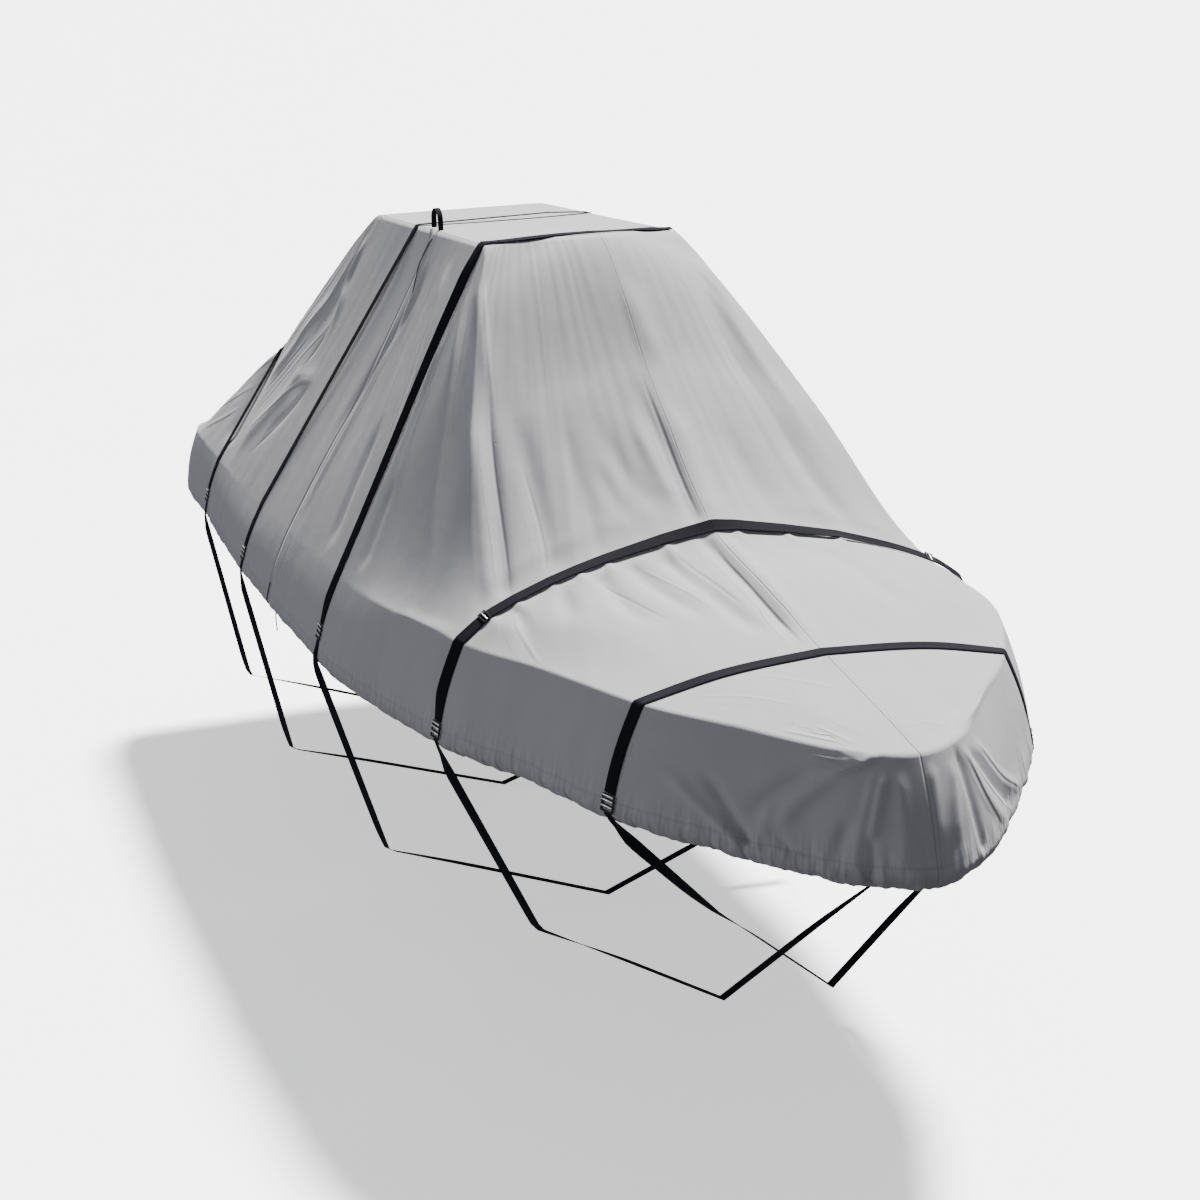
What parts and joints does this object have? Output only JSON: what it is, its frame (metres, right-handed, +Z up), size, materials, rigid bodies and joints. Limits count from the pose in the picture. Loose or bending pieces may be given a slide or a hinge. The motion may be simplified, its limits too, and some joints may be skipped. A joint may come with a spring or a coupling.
{
  "type": "boat cover",
  "caption": "Fitted trailer-style cover for a centre-console boat with a T-top: a closed top, sloping sides, a tucked-in skirt and webbing straps that pass under the hull.",
  "frame": {"origin": "middle of the underside of the cover's top panel", "axes": "+X to the bow, +Y to port, +Z up"},
  "size_m": [7.0763, 2.5844, 3.066],
  "materials": {
    "cover_aft": "woven polyester, matt",
    "cover_front_port": "woven polyester, matt",
    "cover_front_starboard": "woven polyester, matt",
    "cover_top": "woven polyester, matt",
    "strap_1_over": "woven webbing",
    "strap_1_under": "woven webbing",
    "strap_1_buckle_starboard": "moulded",
    "strap_1_buckle_port": "moulded",
    "strap_2_over": "woven webbing",
    "strap_2_under": "woven webbing",
    "strap_2_buckle_starboard": "moulded",
    "strap_2_clip_starboard": "moulded",
    "strap_2_buckle_port": "moulded",
    "strap_2_clip_port": "moulded",
    "strap_3_over": "woven webbing",
    "strap_3_under": "woven webbing",
    "strap_3_buckle_starboard": "moulded",
    "strap_3_buckle_port": "moulded",
    "strap_4_over": "woven webbing",
    "strap_4_under": "woven webbing",
    "strap_4_buckle_starboard": "moulded",
    "strap_4_buckle_port": "moulded",
    "strap_5_over": "woven webbing",
    "strap_5_under": "woven webbing",
    "strap_5_buckle_starboard": "moulded",
    "strap_5_buckle_port": "moulded",
    "top_tie_loop": "woven webbing",
    "top_tie": "braided cord",
    "hem_tie": "braided cord"
  },
  "bodies": {
    "root": {"cover_aft": "cover_aft", "cover_front_port": "cover_front_port", "cover_front_starboard": "cover_front_starboard", "cover_top": "cover_top", "strap_1_over": "strap_1_over", "strap_1_under": "strap_1_under", "strap_1_buckle_starboard": "strap_1_buckle_starboard", "strap_1_buckle_port": "strap_1_buckle_port", "strap_2_over": "strap_2_over", "strap_2_under": "strap_2_under", "strap_2_buckle_starboard": "strap_2_buckle_starboard", "strap_2_clip_starboard": "strap_2_clip_starboard", "strap_2_buckle_port": "strap_2_buckle_port", "strap_2_clip_port": "strap_2_clip_port", "strap_3_over": "strap_3_over", "strap_3_under": "strap_3_under", "strap_3_buckle_starboard": "strap_3_buckle_starboard", "strap_3_buckle_port": "strap_3_buckle_port", "strap_4_over": "strap_4_over", "strap_4_under": "strap_4_under", "strap_4_buckle_starboard": "strap_4_buckle_starboard", "strap_4_buckle_port": "strap_4_buckle_port", "strap_5_over": "strap_5_over", "strap_5_under": "strap_5_under", "strap_5_buckle_starboard": "strap_5_buckle_starboard", "strap_5_buckle_port": "strap_5_buckle_port", "top_tie_loop": "top_tie_loop", "top_tie": "top_tie", "hem_tie": "hem_tie"}
  },
  "joints": []
}
